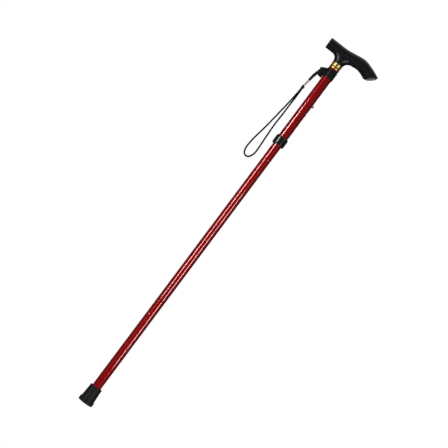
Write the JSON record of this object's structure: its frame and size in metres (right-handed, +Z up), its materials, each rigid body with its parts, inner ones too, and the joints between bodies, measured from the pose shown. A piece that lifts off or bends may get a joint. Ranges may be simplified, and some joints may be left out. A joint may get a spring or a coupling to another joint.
{
  "type": "folding walking stick",
  "caption": "Folding, height-adjustable walking stick: T-shaped derby handle, red tubes on an elastic cord, lock ring, snap button, rubber foot and wrist strap.",
  "frame": {"origin": "centre of the rubber foot's tread, where the stick meets the floor", "axes": "+Z up along the shaft, +X towards the handle's nose, the wrist strap's lug on the -X side"},
  "size_m": [0.1393, 0.0336, 0.9301],
  "materials": {
    "anodised_red": "clear red anodising over fine drawn aluminium, glossy",
    "grip_plastic": "satin moulded black plastic, faintly pebbled",
    "black_plastic": "smooth moulded black nylon, half gloss",
    "inlay_plastic": "polished dark grey plastic",
    "white_plastic": "natural acetal, matt",
    "brass": "polished brass, lacquered",
    "steel": "zinc plated steel",
    "spring_steel": "rolled spring steel strip",
    "button_chrome": "nickel plated",
    "foot_rubber": "moulded rubber, dull",
    "bungee_fabric": "white braided cover over elastic",
    "strap_fabric": "black braided cord",
    "clear_sleeve": "silvery translucent plastic tube"
  },
  "bodies": {
    "handle": {"handle_grip": "grip_plastic", "nose_plug": "inlay_plastic", "stem_plug": "white_plastic", "stem_screw": "steel", "brass_collar": "brass", "upper_tube": "anodised_red", "strap_collar": "black_plastic", "thread_bush": "black_plastic", "collet": "white_plastic", "strap_pin": "steel"},
    "lock_ring": {"lock_ring": "black_plastic"},
    "adjuster": {"adjuster_tube": "anodised_red", "button_spring": "spring_steel", "cord_anchor_plug": "black_plastic", "cord_top_knot": "bungee_fabric", "bungee_1": "bungee_fabric"},
    "snap_button": {"snap_button": "button_chrome", "button_leaf": "spring_steel"},
    "neck_1": {"coupler_neck_1": "anodised_red", "neck_cap_1": "black_plastic", "bungee_neck_1": "bungee_fabric"},
    "section_2": {"section_tube_2": "anodised_red", "coupler_root_2": "anodised_red", "bungee_2": "bungee_fabric"},
    "neck_2": {"coupler_neck_2": "anodised_red", "neck_cap_2": "black_plastic", "bungee_neck_2": "bungee_fabric"},
    "section_3": {"section_tube_3": "anodised_red", "coupler_root_3": "anodised_red", "bungee_3": "bungee_fabric"},
    "neck_3": {"coupler_neck_3": "anodised_red", "neck_cap_3": "black_plastic", "bungee_neck_3": "bungee_fabric"},
    "tip": {"tip_tube": "anodised_red", "coupler_root_4": "anodised_red", "bungee_4": "bungee_fabric", "cord_end_washer": "steel", "cord_end_knot": "bungee_fabric", "foot_washer": "steel", "rubber_foot": "foot_rubber"},
    "strap": {"strap_link": "black_plastic", "strap_sleeve": "clear_sleeve", "strap_bead": "black_plastic", "strap_cord": "strap_fabric"}
  },
  "joints": [
    {"name": "height_adjust", "type": "slide", "parent": "handle", "child": "adjuster", "axis": [0, 0, -1], "range_m": [-0.06, 0.06]},
    {"name": "lock_ring_turn", "type": "hinge", "parent": "handle", "child": "lock_ring", "pos_m": [0, 0, 0.68], "axis": [0, 0, 1], "range_deg": [0, 120]},
    {"name": "button_press", "type": "slide", "parent": "adjuster", "child": "snap_button", "axis": [-1, 0, 0], "range_m": [0, 0.0046], "stiffness_N_per_m": 700, "springref_m": -0.004},
    {"name": "pull_1", "type": "slide", "parent": "adjuster", "child": "neck_1", "axis": [0, 0, 1], "range_m": [-0.033, 0], "stiffness_N_per_m": 120, "springref_m": 0.09, "deforming": ["bungee_1"]},
    {"name": "fold_1", "type": "hinge", "parent": "neck_1", "child": "section_2", "pos_m": [0.0125, 0, 0.597], "axis": [0, -1, 0], "range_deg": [0, 180]},
    {"name": "pull_2", "type": "slide", "parent": "section_2", "child": "neck_2", "axis": [0, 0, 1], "range_m": [-0.033, 0], "stiffness_N_per_m": 120, "springref_m": 0.08, "deforming": ["bungee_2"]},
    {"name": "fold_2", "type": "hinge", "parent": "neck_2", "child": "section_3", "pos_m": [-0.0105, 0, 0.412], "axis": [0, 1, 0], "range_deg": [0, 180]},
    {"name": "pull_3", "type": "slide", "parent": "section_3", "child": "neck_3", "axis": [0, 0, 1], "range_m": [-0.033, 0], "stiffness_N_per_m": 120, "springref_m": 0.07, "deforming": ["bungee_3"]},
    {"name": "fold_3", "type": "hinge", "parent": "neck_3", "child": "tip", "pos_m": [0.0105, 0, 0.227], "axis": [0, -1, 0], "range_deg": [0, 180]},
    {"name": "strap_swing", "type": "hinge", "parent": "handle", "child": "strap", "pos_m": [-0.024, 0, 0.8476], "axis": [0, 1, 0], "range_deg": [-4, 90]}
  ],
  "couplings": [
    {"joint": "fold_2", "follows": "fold_1", "ratio": 1},
    {"joint": "fold_3", "follows": "fold_1", "ratio": 1}
  ]
}
